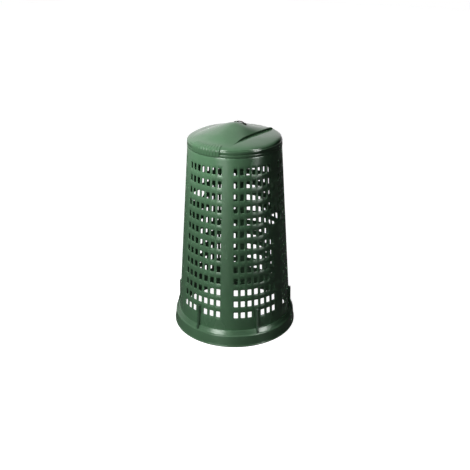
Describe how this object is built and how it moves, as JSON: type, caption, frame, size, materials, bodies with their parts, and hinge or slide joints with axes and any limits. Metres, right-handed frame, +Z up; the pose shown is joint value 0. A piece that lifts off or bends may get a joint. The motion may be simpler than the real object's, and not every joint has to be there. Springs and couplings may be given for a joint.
{
  "type": "vented compost bin",
  "caption": "Tall tapered garden compost bin with slotted walls, open bottom, clipped base ring and a hinged domed lid with a lifting strap.",
  "frame": {"origin": "centre of the bin's foot, on the ground", "axes": "+Z up along the bin's axis, -Y towards the lid's ribbed grip (the front), +Y towards the lid hinge, +X through a hand-hold"},
  "size_m": [0.531, 0.531, 0.8789],
  "materials": {
    "body_green": "satin moulded polyethylene, dark green",
    "ring_green": "satin moulded polyethylene, dark green",
    "clip_green": "satin moulded plastic, deeper green",
    "lid_green": "semi-gloss moulded polyethylene, dark green",
    "pin_steel": "zinc-plated steel",
    "black_plastic": "black moulded rubber"
  },
  "bodies": {
    "bin": {"base_ring": "ring_green", "wall_panel_1": "body_green", "wall_panel_2": "body_green", "wall_panel_3": "body_green", "wall_panel_4": "body_green", "wall_panel_5": "body_green", "wall_panel_6": "body_green", "base_clip_1": "clip_green", "base_clip_2": "clip_green", "base_clip_3": "clip_green", "base_clip_4": "clip_green", "base_clip_5": "clip_green", "base_clip_6": "clip_green", "collar": "lid_green", "hinge_pin_left": "pin_steel", "hinge_pin_right": "pin_steel"},
    "lid": {"lid_shell": "lid_green", "lid_crown": "lid_green", "lid_grip": "lid_green", "strap_rivets": "black_plastic", "lifting_strap": "black_plastic"}
  },
  "joints": [
    {"name": "lid_hinge", "type": "hinge", "parent": "bin", "child": "lid", "pos_m": [0, 0.202, 0.8019], "axis": [-1, 0, 0], "range_deg": [0, 110]}
  ]
}
